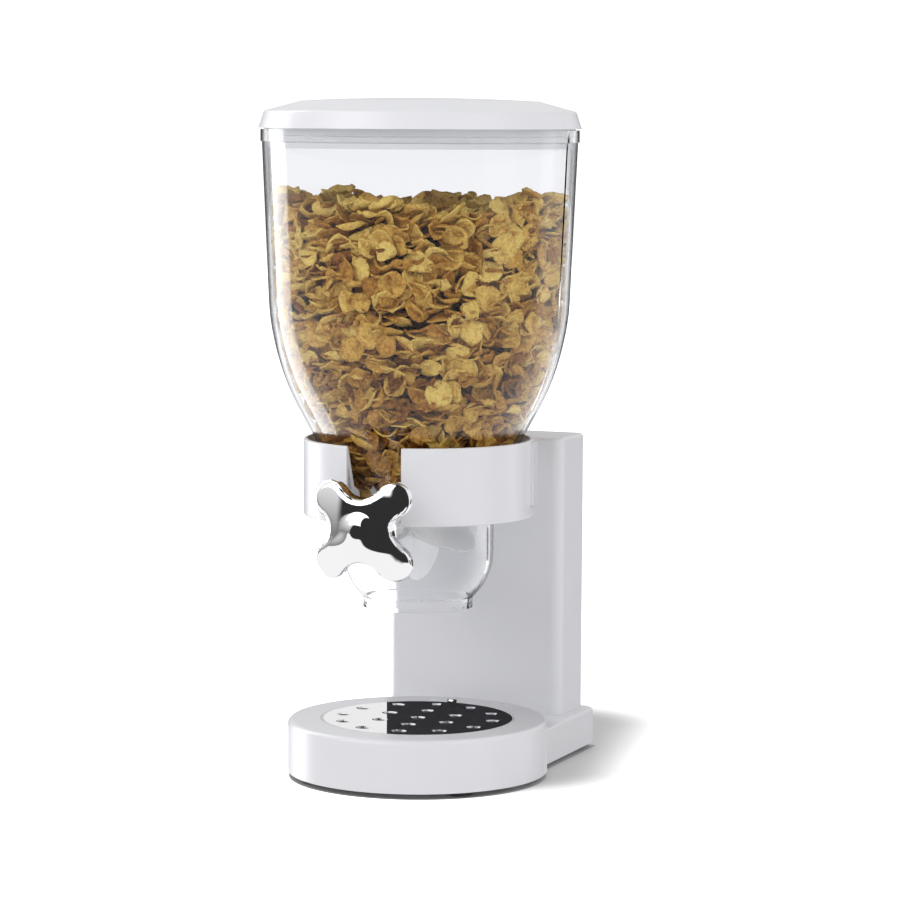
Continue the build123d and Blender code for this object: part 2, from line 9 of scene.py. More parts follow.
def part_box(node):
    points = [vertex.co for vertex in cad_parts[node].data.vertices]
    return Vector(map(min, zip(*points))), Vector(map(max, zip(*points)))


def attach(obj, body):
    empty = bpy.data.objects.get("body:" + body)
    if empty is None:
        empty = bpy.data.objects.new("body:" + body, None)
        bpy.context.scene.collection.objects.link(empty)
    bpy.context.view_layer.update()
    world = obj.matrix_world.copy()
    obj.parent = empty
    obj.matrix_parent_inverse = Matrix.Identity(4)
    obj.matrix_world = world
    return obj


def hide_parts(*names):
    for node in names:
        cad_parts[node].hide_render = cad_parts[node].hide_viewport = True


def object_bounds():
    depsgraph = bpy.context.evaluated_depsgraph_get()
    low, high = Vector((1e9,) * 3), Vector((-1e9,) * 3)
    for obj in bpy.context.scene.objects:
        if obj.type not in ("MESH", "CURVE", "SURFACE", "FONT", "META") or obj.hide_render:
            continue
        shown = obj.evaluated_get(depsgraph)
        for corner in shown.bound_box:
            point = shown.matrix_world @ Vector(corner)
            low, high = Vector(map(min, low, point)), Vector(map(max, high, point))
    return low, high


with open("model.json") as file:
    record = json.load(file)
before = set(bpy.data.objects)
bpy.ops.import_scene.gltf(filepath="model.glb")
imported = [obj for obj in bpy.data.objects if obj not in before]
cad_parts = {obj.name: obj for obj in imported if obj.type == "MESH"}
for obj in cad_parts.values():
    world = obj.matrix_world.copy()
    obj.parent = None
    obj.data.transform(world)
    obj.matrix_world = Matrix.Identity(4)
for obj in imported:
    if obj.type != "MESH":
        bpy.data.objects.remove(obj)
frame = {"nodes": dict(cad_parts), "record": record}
cad_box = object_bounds()

# A dry-food dispenser: clear canister full of flakes, lobed knob, collar on a column, round base.
# Metres, in the frame of the CAD model: +Z up, the knob faces -Y.

# ---- Places, read from the frame ----

NODES = frame["nodes"]
HEIGHT = cad_box[1].z
CANISTER_LOW, CANISTER_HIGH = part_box("canister")
AXIS = Vector((0, (CANISTER_LOW.y + CANISTER_HIGH.y) / 2, 0))  # the canister's upright axis
BLADES_LOW, BLADES_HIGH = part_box("paddle_blades")
WHEEL_Y = (BLADES_LOW.y + BLADES_HIGH.y) / 2
WHEEL_Z = (BLADES_LOW.z + BLADES_HIGH.z) / 2
BLADE_R = (BLADES_HIGH.z - BLADES_LOW.z) / 2
BASE_LOW, BASE_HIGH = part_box("base_shell")
TRAY_LOW, TRAY_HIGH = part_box("crumb_tray")
DISC_Y = (TRAY_LOW.y + TRAY_HIGH.y) / 2  # middle of the round part of the base
DISC_R = DISC_Y - BASE_LOW.y
REAR_BLOCK_HALF_X = 0.0635  # half the width of the base's rear block

random = np.random.default_rng(20)

# ---- Meshes ----


def new_mesh(name, points, faces, material, smooth=True):
    """A mesh object with one material, linked to the scene."""
    mesh = bpy.data.meshes.new(name)
    mesh.from_pydata([tuple(point) for point in points], [], [tuple(face) for face in faces])
    mesh.validate()
    mesh.materials.append(material)
    mesh.polygons.foreach_set("use_smooth", [smooth] * len(mesh.polygons))
    piece = bpy.data.objects.new(name, mesh)
    bpy.context.scene.collection.objects.link(piece)
    return piece


def new_piece(name, points, faces, body, material):
    """A smooth mesh piece that rides on a CAD body."""
    piece = new_mesh(name, points, faces, material)
    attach(piece, body)
    return piece


def closed_tube_faces(rings, spokes):
    """Faces of a closed tube of rings. The middles of its two ends follow after the rings' points."""
    faces = []
    last = (rings - 1) * spokes
    first_end = rings * spokes
    last_end = first_end + 1
    for j in range(spokes):
        after = (j + 1) % spokes
        for k in range(rings - 1):
            a, b = k * spokes + j, k * spokes + after
            faces.append((a, b, b + spokes, a + spokes))
        faces.append((first_end, after, j))
        faces.append((last + j, last + after, last_end))
    return faces


def soft_step(value, low, high):
    """0 at low and 1 at high, with a smooth rise between them."""
    t = np.clip((value - low) / (high - low), 0, 1)
    return t * t * (3 - 2 * t)


# ---- Materials ----


class Recipe:
    """The nodes of a material or a world, with short ways to add and join them."""

    def __init__(self, owner):
        owner.use_nodes = True
        self.owner = owner
        self.tree = owner.node_tree
        self.tree.nodes.clear()

    def add(self, kind, inputs=(), output=0, **settings):
        """Adds a node, sets its settings, and gives each input a value or a socket. Returns an output."""
        node = self.tree.nodes.new("ShaderNode" + kind)
        for key, value in settings.items():
            setattr(node, key, value)
        for key, value in dict(inputs).items():
            socket = node.inputs[key]
            if isinstance(value, bpy.types.NodeSocket):
                self.tree.links.new(value, socket)
            else:
                socket.default_value = value
        return node.outputs[output] if len(node.outputs) else node

    def noise(self, scale, detail=2.0, roughness=0.5):
        """Smooth noise in the piece's own metres, scale waves to a metre."""
        place = self.add("TexCoord", output="Object")
        values = {"Vector": place, "Scale": scale, "Detail": detail, "Roughness": roughness}
        return self.add("TexNoise", values)

    def spread(self, value, low, high, start=0.3, end=0.7):
        """A 0 to 1 value, stretched from start and end to low and high."""
        limits = {"Value": value, "From Min": start, "From Max": end, "To Min": low, "To Max": high}
        return self.add("MapRange", limits)

    def ramp(self, value, start, end):
        """0 at start and 1 at end, with a smooth rise between them."""
        limits = {"Value": value, "From Min": start, "From Max": end}
        return self.add("MapRange", limits, interpolation_type="SMOOTHSTEP")

    def between(self, share, first, second):
        """A colour between two, each a red, green and blue or a socket."""
        node = self.tree.nodes.new("ShaderNodeMix")
        node.data_type = "RGBA"
        self.tree.links.new(share, node.inputs[0])
        # a mix node has sockets A and B for numbers, vectors and colours, so the colour ones go by their type
        colours = [socket for socket in node.inputs if socket.type == "RGBA"]
        for socket, value in zip(colours, (first, second)):
            if isinstance(value, bpy.types.NodeSocket):
                self.tree.links.new(value, socket)
            else:
                socket.default_value = (*value, 1.0)
        return next(socket for socket in node.outputs if socket.type == "RGBA")

    def maths(self, operation, first, second=0.0):
        """A calculation with one or two numbers."""
        return self.add("Math", {0: first, 1: second}, operation=operation)

    def vector(self, operation, first, second=(0, 0, 0), output="Vector"):
        """A calculation with one or two vectors. The output Value gives its result as a number."""
        return self.add("VectorMath", {0: first, 1: second}, output=output, operation=operation)

    def bump(self, height, strength, distance, below=None):
        """A bump from a height, strength 0 to 1, distance in metres. It may lie on another bump."""
        values = {"Height": height, "Strength": strength, "Distance": distance}
        if below is not None:
            values["Normal"] = below
        return self.add("Bump", values)

    def finish(self, shader, output="OutputMaterial"):
        """Joins the shader to the output node. Returns the finished material or world."""
        self.add(output, {"Surface": shader})
        return self.owner


def white_plastic():
    """White moulded plastic: a satin gloss with a very fine grain and faint flow marks."""
    r = Recipe(bpy.data.materials.new("white_plastic"))
    grain = r.bump(r.noise(2600, 2), 0.10, 0.00008)
    shade = {
        "Base Color": r.between(r.noise(9, 2), (0.735, 0.737, 0.765), (0.755, 0.757, 0.783)),
        "Roughness": r.spread(r.noise(30, 2), 0.29, 0.33),
        "IOR": 1.5,
        "Normal": r.bump(r.noise(22, 1), 0.02, 0.0006, grain),
    }
    return r.finish(r.add("BsdfPrincipled", shade))


def clear_plastic():
    """Clear polished plastic. Upright walls darken towards their edges, a painted shade for the dark
    surroundings seen through them at a slant, and lamps shine through it.
    """
    r = Recipe(bpy.data.materials.new("clear_plastic"))
    facing = r.add("LayerWeight", {"Blend": 0.5}, output="Facing")
    normal = r.add("NewGeometry", output="Normal")
    lean = r.maths("ABSOLUTE", r.add("SeparateXYZ", {0: normal}, output="Z"))
    # painted shade: on upright walls seen at a slant the tint turns dark grey, for the dark surroundings seen
    # through them
    upright = r.spread(lean, 1.0, 0.0, 0.75, 0.95)
    grazing_painted_shade = r.spread(facing, 0.0, 1.0, 0.70, 0.85)
    edge = r.maths("MULTIPLY", grazing_painted_shade, upright)
    shade = {
        "Base Color": r.between(edge, (0.955, 0.958, 0.968), (0.10, 0.105, 0.11)),
        "Roughness": 0.0,
        "IOR": 1.49,
        "Transmission Weight": 1.0,
        "Specular Tint": (0.32, 0.32, 0.33, 1),
        "Normal": r.bump(r.noise(30, 1), 0.05, 0.0004),
    }
    solid = r.add("BsdfPrincipled", shade)
    open_way = r.add("BsdfTransparent", {"Color": (0.93, 0.94, 0.94, 1)})
    shadow = r.add("LightPath", output="Is Shadow Ray")
    diffuse = r.add("LightPath", output="Is Diffuse Ray")
    return r.finish(r.add("MixShader", {0: r.maths("MAXIMUM", shadow, diffuse), 1: solid, 2: open_way}))


def chrome():
    """Bright plated metal with faint wipe marks in its gloss."""
    r = Recipe(bpy.data.materials.new("chrome"))
    bright = (0.93, 0.93, 0.94)
    shade = {
        "Base Color": r.between(r.noise(20), bright, tuple(0.97 * c for c in bright)),
        "Metallic": 1.0,
        "Roughness": r.spread(r.noise(90, 6, 0.7), 0.015, 0.04),
        "Normal": r.bump(r.noise(55, 1), 0.01, 0.0003),
    }
    return r.finish(r.add("BsdfPrincipled", shade))


def turned_steel(name, colour):
    """Steel with fine turning lines."""
    r = Recipe(bpy.data.materials.new(name))
    place = r.add("TexCoord", output="Object")
    stretched = r.add("Mapping", {"Vector": place, "Scale": (900, 4000, 900)})
    lines = r.add("TexNoise", {"Vector": stretched, "Scale": 1.0, "Detail": 3.0})
    shade = {
        "Base Color": colour,
        "Metallic": 1.0,
        "Roughness": r.spread(lines, 0.22, 0.42),
        "Normal": r.bump(lines, 0.15, 0.00005),
    }
    return r.finish(r.add("BsdfPrincipled", shade))


def silicone():
    """Milky soft silicone with a dusty bloom."""
    r = Recipe(bpy.data.materials.new("silicone"))
    shade = {
        "Base Color": r.between(r.noise(60, 4), (0.94, 0.94, 0.95), (0.98, 0.98, 0.98)),
        "Roughness": r.spread(r.noise(240, 3), 0.30, 0.42),
        "Transmission Weight": 0.6,
        "IOR": 1.41,
        "Alpha": 0.4,
        "Normal": r.bump(r.noise(1500, 2), 0.15, 0.0001),
    }
    return r.finish(r.add("BsdfPrincipled", shade))


def bearing_plastic():
    """Slippery bearing plastic, off-white and matte."""
    r = Recipe(bpy.data.materials.new("bearing_plastic"))
    shade = {
        "Base Color": r.between(r.noise(80, 3), (0.74, 0.74, 0.73), (0.80, 0.80, 0.79)),
        "Roughness": r.spread(r.noise(400, 3), 0.45, 0.6),
        "Normal": r.bump(r.noise(1800, 2), 0.2, 0.0001),
    }
    return r.finish(r.add("BsdfPrincipled", shade))


def foot_rubber():
    """Dark rubber with a pitted skin."""
    r = Recipe(bpy.data.materials.new("foot_rubber"))
    shade = {
        "Base Color": r.between(r.noise(300, 4), (0.018, 0.018, 0.02), (0.04, 0.04, 0.042)),
        "Roughness": r.spread(r.noise(700, 3), 0.6, 0.85),
        "Normal": r.bump(r.noise(1400, 4), 0.5, 0.0002),
    }
    return r.finish(r.add("BsdfPrincipled", shade))


BURNT = (0.33, 0.135, 0.024)
FLAKE_TONES = (
    (0.00, (0.15, 0.048, 0.007)),
    (0.30, (0.40, 0.175, 0.027)),
    (0.60, (0.66, 0.380, 0.080)),
    (1.00, (0.87, 0.640, 0.180)),
)


def cereal_flake():
    """Toasted flake: golden, with burnt spots mostly near its rim, and a crisp blistered skin."""
    r = Recipe(bpy.data.materials.new("cereal_flake"))
    # each flake's lightness, lowered for deeper layers as a painted shade
    tone_and_shade = r.add("Attribute", output="Fac", attribute_name="tone_and_shade")
    toast = r.add("Attribute", output="Fac", attribute_name="toast")
    mottle = r.noise(420, 5, 0.65)
    golden = r.add("ValToRGB", {0: r.maths("ADD", tone_and_shade, r.spread(mottle, -0.26, 0.26))})
    stops = golden.node.color_ramp.elements
    for k, (place, colour) in enumerate(FLAKE_TONES):
        stop = stops[k] if k < 2 else stops.new(place)
        stop.position = place
        stop.color = (*colour, 1)
    spots = r.spread(r.noise(900, 3), 0.10, 1.0, 0.50, 0.68)
    rough = r.bump(r.noise(1300, 4, 0.6), 0.5, 0.0006)
    blister = r.bump(r.noise(360, 3), 0.9, 0.0020, rough)
    shade = {
        "Base Color": r.between(r.maths("MULTIPLY", spots, toast), golden, BURNT),
        "Roughness": r.spread(mottle, 0.42, 0.68),
        "Specular IOR Level": 0.15,
        "Normal": blister,
    }
    return r.finish(r.add("BsdfPrincipled", shade))


def cereal_core_shade():
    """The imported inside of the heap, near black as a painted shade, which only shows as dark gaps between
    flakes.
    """
    r = Recipe(bpy.data.materials.new("cereal_core_shade"))
    shade = {
        # painted shade: the heap's inside is coloured near black, for the shade deep between flakes
        "Base Color": r.between(r.noise(260, 5), (0.02, 0.009, 0.003), (0.12, 0.055, 0.015)),
        "Roughness": 0.9,
        "Normal": r.bump(r.noise(500, 5), 1.0, 0.002),
    }
    return r.finish(r.add("BsdfPrincipled", shade))


def floor_paper():
    """Pale studio paper that glows white, with a soft painted shade right of and behind the base, and painted
    dark under it.
    """
    r = Recipe(bpy.data.materials.new("floor_paper"))
    glow = 0.95
    margin = 0.001  # the painted dark under the base ends this far inside the base's outline
    block_y = (BASE_HIGH.y + DISC_Y) / 2
    block_half = (REAR_BLOCK_HALF_X - margin, (BASE_HIGH.y - DISC_Y) / 2 - margin, 1.0)
    shade_start = Vector((0.56 * DISC_R, DISC_Y + 0.44 * DISC_R, 0))
    shade_end = Vector((0.11 * DISC_R, BASE_HIGH.y + 0.75 * DISC_R, 0))
    shade_r = 0.91 * DISC_R
    shade_soft = 0.46 * DISC_R
    place = r.add("TexCoord", output="Object")

    def off_shade():
        """Distance from the outline of the painted shade, which is round about a line from its start to its
        end.
        """
        line = shade_end - shade_start
        from_start = r.vector("SUBTRACT", place, shade_start)
        along = r.vector("DOT_PRODUCT", from_start, line, "Value")
        share = r.add("Clamp", {0: r.maths("DIVIDE", along, line.length_squared)})
        nearest = r.add("VectorMath", {0: line, "Scale": share}, operation="SCALE")
        return r.maths("SUBTRACT", r.vector("DISTANCE", from_start, nearest, "Value"), shade_r)

    def off_base():
        """Distance from just inside the outline of the round base and its rear block."""
        from_middle = r.vector("DISTANCE", place, (0, DISC_Y, 0), "Value")
        off_disc = r.maths("SUBTRACT", from_middle, DISC_R - margin)
        outward = r.vector("ABSOLUTE", r.vector("SUBTRACT", place, (0, block_y, 0)))
        beyond = r.vector("MAXIMUM", r.vector("SUBTRACT", outward, block_half))
        return r.maths("MINIMUM", off_disc, r.vector("LENGTH", beyond, output="Value"))

    open_floor = r.ramp(off_shade(), -shade_soft, shade_soft)
    beside = r.spread(off_base(), 0.0, 1.0, 0.0, margin)
    # diffuse rays don't see the glow, so it doesn't light the object
    seen = r.maths("MAXIMUM", r.maths("SUBTRACT", glow, r.add("LightPath", output="Is Diffuse Ray")))
    paper = r.between(r.noise(6, 3), (0.93, 0.93, 0.935), (0.96, 0.96, 0.96))
    # painted shade: the paper is darker, and has no glow, where a shadow falls right of and behind the base
    painted_shade_paper = r.between(open_floor, (0.70, 0.70, 0.70), paper)
    shade = {
        # painted shade: the paper under the base is dark grey
        "Base Color": r.between(beside, (0.45, 0.45, 0.45), painted_shade_paper),
        "Roughness": 0.9,
        "Specular IOR Level": 0.1,
        "Emission Color": (1, 1, 1, 1),
        "Emission Strength": r.maths("MULTIPLY", seen, r.maths("MULTIPLY", open_floor, beside)),
    }
    return r.finish(r.add("BsdfPrincipled", shade))


FINISHES = {
    "white_plastic": white_plastic(),
    "clear_plastic": clear_plastic(),
    "chrome": chrome(),
    "shaft_steel": turned_steel("shaft_steel", (0.55, 0.55, 0.56, 1)),
    "screw_steel": turned_steel("screw_steel", (0.48, 0.48, 0.50, 1)),
    "silicone": silicone(),
    "bearing_plastic": bearing_plastic(),
    "foot_rubber": foot_rubber(),
}

# every CAD node gets the finish that its slot in the record names
for part in frame["record"]["subparts"]:
    node = NODES[part["node"]]
    node.data.materials.clear()
    node.data.materials.append(FINISHES[part["material_slot"]])

# ---- Knob: a thick bright cross with a domed face and a round boss ----

KNOB_LOW, KNOB_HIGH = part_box("knob")
LOBE_R = 0.010
LOBE_X = KNOB_HIGH.x - LOBE_R  # centre of a lobe's round tip
LOBE_Z = KNOB_HIGH.z - WHEEL_Z - LOBE_R
VALLEY_X = 0.0189  # from the middle to the hollow at a side
VALLEY_Z = 0.0179  # and to the one at the top
BOSS_FLAT_R = 0.003
BOSS_R = 0.0115
BOSS_TAIL_R = 0.026  # its lower side fades out slowly
BOSS_H = 0.0024
DOME_H = 0.0056
DOME_R = 0.034  # where the dome would meet the lobes' plane
EDGE_H = 0.0030
EDGE_W = 0.0038
FACE_Y = KNOB_LOW.y + BOSS_H + DOME_H + EDGE_H  # the front's height is counted from here, towards -Y
KNOB_BACK_Y = AXIS.y - 0.0735
BACK_EDGE_R = 0.0022
STEM_R = 0.0085
STEM_CHAMFER = 0.0005
BORE_R = 0.005
BORE_END_Y = KNOB_BACK_Y - 0.006
KNOB_SPOKES = 192
KNOB_FRONT_RINGS = 40


def valley_arc(along, off, nearest):
    """Distance and radius of the hollow arc between two lobes, which passes nearest the middle."""
    rest = LOBE_R - nearest
    distance = (along**2 + off**2 - rest**2) / (2 * (along + rest))
    return distance, distance - nearest


def touch_turn(centre_x, centre_z):
    """Direction in which a hollow about this centre touches the lobe's tip."""
    gap_x, gap_z = centre_x - LOBE_X, centre_z - LOBE_Z
    share = LOBE_R / hypot(gap_x, gap_z)
    return atan2(LOBE_Z + share * gap_z, LOBE_X + share * gap_x)


def knob_reach(angle):
    """How far the knob's outline is from its middle in one direction: a lobe's tip or a hollow."""
    x, z = abs(cos(angle)), abs(sin(angle))
    side_centre, side_r = valley_arc(LOBE_X, LOBE_Z, VALLEY_X)
    top_centre, top_r = valley_arc(LOBE_Z, LOBE_X, VALLEY_Z)
    turn = atan2(z, x)
    if turn < touch_turn(side_centre, 0):
        return side_centre * x - max(side_r**2 - (side_centre * z) ** 2, 0) ** 0.5
    if turn > touch_turn(0, top_centre):
        return top_centre * z - max(top_r**2 - (top_centre * x) ** 2, 0) ** 0.5
    along = x * LOBE_X + z * LOBE_Z
    return along + max(along**2 - LOBE_X**2 - LOBE_Z**2 + LOBE_R**2, 0) ** 0.5


def knob_face(x, z, inset):
    """Height of the knob's front, for a place on it and that place's distance from the outline."""
    r = np.hypot(x, z)
    round_in = 1 - np.clip(inset / EDGE_W, 0, 1)
    edge = EDGE_H * np.sqrt(np.clip(1 - round_in**2, 0, 1))
    dome = DOME_H * (1 - (r / DOME_R) ** 2)
    lower = soft_step(-z, 0.0, BOSS_R)
    boss = BOSS_H * (1 - soft_step(r, BOSS_FLAT_R, BOSS_R + (BOSS_TAIL_R - BOSS_R) * lower))
    return edge + dome + boss


def knob_rings(turns, reach):
    """Rings of points from the middle of the front, over the edge and the back, to the end of the bore."""
    outline = np.stack([reach * np.cos(turns), reach * np.sin(turns)], 1)
    rings = []

    def ring(radius, y):
        """Adds a ring, whose radius and y may differ from spoke to spoke."""
        radius = np.broadcast_to(radius, turns.shape)
        y = np.broadcast_to(y, turns.shape)
        rings.append(np.stack([radius * np.cos(turns), y, WHEEL_Z + radius * np.sin(turns)], 1))

    for k in range(1, KNOB_FRONT_RINGS + 1):
        radius = reach * sin(k / (KNOB_FRONT_RINGS + 1) * pi / 2)
        points = np.stack([radius * np.cos(turns), radius * np.sin(turns)], 1)
        inset = np.linalg.norm(points[:, None, :] - outline[None, :, :], axis=2).min(1)
        ring(radius, FACE_Y - knob_face(points[:, 0], points[:, 1], inset))
    ring(reach, FACE_Y - knob_face(outline[:, 0], outline[:, 1], 0.0))
    # the rounded back edge, the flat back, and the stem with its bore
    for turn in (0.0, 0.35, 0.7, 1.05, 1.4):
        ring(reach - BACK_EDGE_R * (1 - cos(turn)), KNOB_BACK_Y - BACK_EDGE_R * (1 - sin(turn)))
    for share in (0.25, 0.5, 0.75, 1.0):
        ring((reach - BACK_EDGE_R) * (1 - share) + STEM_R * share, KNOB_BACK_Y)
    ring(STEM_R, KNOB_HIGH.y - STEM_CHAMFER)
    ring(STEM_R - STEM_CHAMFER, KNOB_HIGH.y)
    ring(BORE_R, KNOB_HIGH.y)
    ring(BORE_R, BORE_END_Y)
    return rings


def make_knob():
    """The bright knob, a finer shape that stands for the CAD model's knob."""
    turns = np.arange(KNOB_SPOKES) * 2 * pi / KNOB_SPOKES
    reach = np.array([knob_reach(turn) for turn in turns])
    rings = knob_rings(turns, reach)
    tip = (0, FACE_Y - float(knob_face(0.0, 0.0, EDGE_W)), WHEEL_Z)
    bore_end = (0, BORE_END_Y, WHEEL_Z)
    points = [point for ring in rings for point in ring] + [tip, bore_end]
    faces = closed_tube_faces(len(rings), KNOB_SPOKES)
    piece = new_piece("knob_bright", points, faces, "knob", FINISHES["chrome"])
    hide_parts("knob")


make_knob()

# ---- Cereal: thin curled flakes in layers along the wall and the top, about a packed core ----

FLAKE = cereal_flake()
CORE_SHADE = cereal_core_shade()
FLAKE_R = 0.0074
FLAKE_T = 0.0011
RIM_THINNING = 0.35
SPOKES, RINGS = 14, 4  # of a flake's mesh
KINDS = 28
EDGE_WAVES = ((2, 0.12), (3, 0.12), (4, 0.09), (5, 0.07), (6, 0.05))  # number round the edge, and size
RIPPLES = 5
RIPPLE_H = 0.048
RIM_WAVE_H = 0.05
CURLS = (0.3, 0.6, 0.9, 1.3)
CROSS_CURL = 0.25
TONE = 0.45  # how golden the lowest outer flakes are, from 0, dark, to 1, pale
TONE_VARIATION = 0.26
TONE_RISE = 0.38  # flakes at the top are paler
HEAP_LOW = 0.163
HEAP_TOP = 0.3265
HEAP_SIDE_RISE = 0.010
HEAP_DIP = 0.005
WALL_GAP = 0.0004
SKIN_DEPTH = 0.0014  # from a layer's outer side to the middles of its flakes
ROW_STEP = 0.86  # height from row to row, in spacings
TOP_GAP = 0.004  # the layers along the wall end this far below the heap's top
CORE_DEPTH = 0.0185
WHEEL_GAP = 0.0015


def inner_wall():
    """Heights and inner radii of the canister, found by looking out from its axis."""
    heights = np.linspace(HEAP_LOW - 0.004, CANISTER_HIGH.z - 0.01, 70)
    turn = 0.3  # clear of the front and rear walls of the wheel's chamber
    way = Vector((cos(turn), sin(turn), 0))
    radii = []
    for z in heights:
        middle = AXIS + Vector((0, 0, z))
        place = NODES["canister"].ray_cast(middle, way)[1]
        radii.append((place - middle).length)
    return heights, np.array(radii)


WALL_HEIGHTS, WALL_RADII = inner_wall()


def wall_radius(z):
    return np.interp(z, WALL_HEIGHTS, WALL_RADII)


def curl(points, curve, turn):
    """Rolls a flake about a line in its own plane."""
    c, s = cos(turn), sin(turn)
    across = points[:, 0] * c + points[:, 1] * s
    along = -points[:, 0] * s + points[:, 1] * c
    lift = points[:, 2]
    rolled = np.sin(across * curve) / curve * (1 - lift * curve)
    raised = (1 - np.cos(across * curve)) / curve + lift * np.cos(across * curve)
    return np.stack([rolled * c - along * s, rolled * s + along * c, raised], 1)


def flake_faces():
    """Faces of a flake's two skins and of the rim between them."""
    faces = []
    middle = RINGS * SPOKES
    skin = middle + 1
    for first, flip in ((0, False), (skin, True)):
        for j in range(SPOKES):
            after = (j + 1) % SPOKES
            half = [(first + middle, first + j, first + after)]
            for k in range(RINGS - 1):
                a, b = first + k * SPOKES + j, first + k * SPOKES + after
                half.append((a, a + SPOKES, b + SPOKES, b))
            faces += [face[::-1] if flip else face for face in half]
    rim = (RINGS - 1) * SPOKES
    for j in range(SPOKES):
        after = (j + 1) % SPOKES
        faces.append((rim + j, skin + rim + j, skin + rim + after, rim + after))
    return faces


def flake_shape():
    """One curled flake of radius about 1: points of its two skins, and how toasted each is."""
    turns = np.arange(SPOKES) * 2 * pi / SPOKES
    edge = np.ones(SPOKES)
    for wave, size in EDGE_WAVES:
        edge += size * random.uniform(-1, 1) * np.cos(wave * turns + random.uniform(0, 2 * pi))
    stretch = random.uniform(1.0, 1.22)
    share = (np.arange(RINGS) + 1.0) / RINGS
    x = (share[:, None] * edge * np.cos(turns) * stretch).ravel()
    y = (share[:, None] * edge * np.sin(turns) / stretch).ravel()
    x, y = np.append(x, 0), np.append(y, 0)
    lift = np.zeros(len(x))
    for _ in range(RIPPLES):
        wave, way, phase = random.uniform(2.6, 6.5), random.uniform(0, pi), random.uniform(0, 2 * pi)
        lift += RIPPLE_H * np.sin(wave * (x * cos(way) + y * sin(way)) + phase)
    rim = np.hypot(x, y) ** 3
    lift += rim * RIM_WAVE_H * np.sin(3 * np.arctan2(y, x) + random.uniform(0, 2 * pi))
    curve = random.choice(CURLS)
    turn = random.uniform(0, pi)
    half_thick = FLAKE_T / FLAKE_R / 2 * (1 - RIM_THINNING * np.append(np.repeat(share, SPOKES), 0) ** 4)
    skins = []
    for way in (1, -1):
        skin = np.stack([x, y, lift + way * half_thick * random.uniform(0.8, 1.3)], 1)
        skins.append(curl(curl(skin, curve, turn), CROSS_CURL, turn + pi / 2))
    toast = 0.15 + 0.85 * np.concatenate([rim, rim]).clip(0, 1)
    return np.concatenate(skins), toast


FLAKE_FACES = flake_faces()
FLAKE_KINDS = [flake_shape() for _ in range(KINDS)]


def placed_flake(place, normal, size):
    """A flake of some kind, laid square to a direction and spun about it. Its points and their toast."""
    shape, toast = FLAKE_KINDS[random.integers(KINDS)]
    spin = Matrix.Rotation(random.uniform(0, 2 * pi), 3, "Z")
    rotation = np.array(Vector(normal).normalized().to_track_quat("Z", "Y").to_matrix() @ spin)
    return shape @ rotation.T * (FLAKE_R * size) + np.array(place), toast


def kept_inside(points):
    """Moves a flake in towards the axis until all of it is inside the wall."""
    for _ in range(3):
        flat = points[:, :2] - np.array(AXIS.xy)
        r = np.hypot(flat[:, 0], flat[:, 1])
        over = (r - wall_radius(points[:, 2]) + WALL_GAP).max()
        if over <= 0:
            break
        middle = flat.mean(0)
        points = points.copy()
        points[:, :2] -= middle / max(hypot(*middle), 1e-6) * (over + 1e-5)
    return points


def heap_top(x, y):
    """Height of the heap's uneven top, a little higher at the left and right."""
    return (
        HEAP_TOP
        + 0.0035 * np.sin(x * 60 + 1.1)
        + 0.0030 * np.sin(y * 70 + x * 35)
        + HEAP_SIDE_RISE * soft_step(abs(x), 0.03, 0.08)
        - HEAP_DIP
    )


def some_normal(base, most_tilt, flat_share=0.0):
    """A direction near base, tilted at random. Some flakes lie level instead."""
    if random.random() < flat_share:
        base = Vector((0, 0, 1))
        most_tilt = 0.45
    tilt = most_tilt * random.random() ** 0.7
    side = base.orthogonal().normalized()
    side.rotate(Matrix.Rotation(random.uniform(0, 2 * pi), 3, base))
    return base * cos(tilt) + side * sin(tilt)


def wall_facing(out, height):
    """The wall's outward direction at a height, which looks down where the bowl narrows."""
    reach = 0.004
    slope = float(wall_radius(height + reach) - wall_radius(height - reach)) / (2 * reach)
    return Vector((out.x, out.y, -slope)).normalized()


def wall_flakes(inward, spacing, most_tilt, flat_share):
    """A layer of flakes that faces the wall, inward of it. It leaves the wheel's space free."""
    flakes = []
    z = HEAP_LOW
    while z < HEAP_TOP + 0.004:
        row_radius = float(wall_radius(z)) - inward - 0.0025
        count = int(2 * pi * row_radius / spacing)
        start = random.uniform(0, 2 * pi)
        for k in range(count):
            turn = start + 2 * pi * (k + random.uniform(-0.3, 0.3)) / count
            height = z + random.uniform(-0.45, 0.45) * spacing
            out = Vector((cos(turn), sin(turn), 0))
            if height > heap_top(out.x * row_radius, out.y * row_radius) - TOP_GAP:
                continue
            radius = float(wall_radius(height)) - inward - SKIN_DEPTH + random.uniform(-0.0014, 0.001)
            place = AXIS + out * radius + Vector((0, 0, height))
            normal = some_normal(wall_facing(out, height), most_tilt, flat_share)
            points, toast = placed_flake(place, normal, random.uniform(0.78, 1.18))
            flakes.append((kept_inside(points), toast))
        z += spacing * ROW_STEP
    return [flake for flake in flakes if outside_wheel(flake[0])]


def top_flakes(drop, spacing):
    """A layer of flakes on the heap's top, or a drop below it."""
    flakes = []
    reach = float(wall_radius(HEAP_TOP)) - 0.004
    steps = int(2 * reach / spacing) + 1
    for i in range(steps):
        for k in range(steps):
            x = -reach + (i + random.uniform(-0.4, 0.4)) * spacing
            y = -reach + (k + random.uniform(-0.4, 0.4)) * spacing
            if hypot(x, y) > reach - 0.004:
                continue
            z = float(heap_top(x, y)) - drop + random.uniform(-0.003, 0.003)
            normal = some_normal(Vector((0, 0, 1)), 0.8)
            place = AXIS + Vector((x, y, z))
            points, toast = placed_flake(place, normal, random.uniform(0.8, 1.2))
            flakes.append((kept_inside(points), toast))
    return flakes


def outside_wheel(points):
    """True if no point of a flake is in the space that the blades sweep."""
    middle = np.array((0, WHEEL_Y, WHEEL_Z))
    return np.linalg.norm(points - middle, axis=1).min() > BLADE_R + WHEEL_GAP


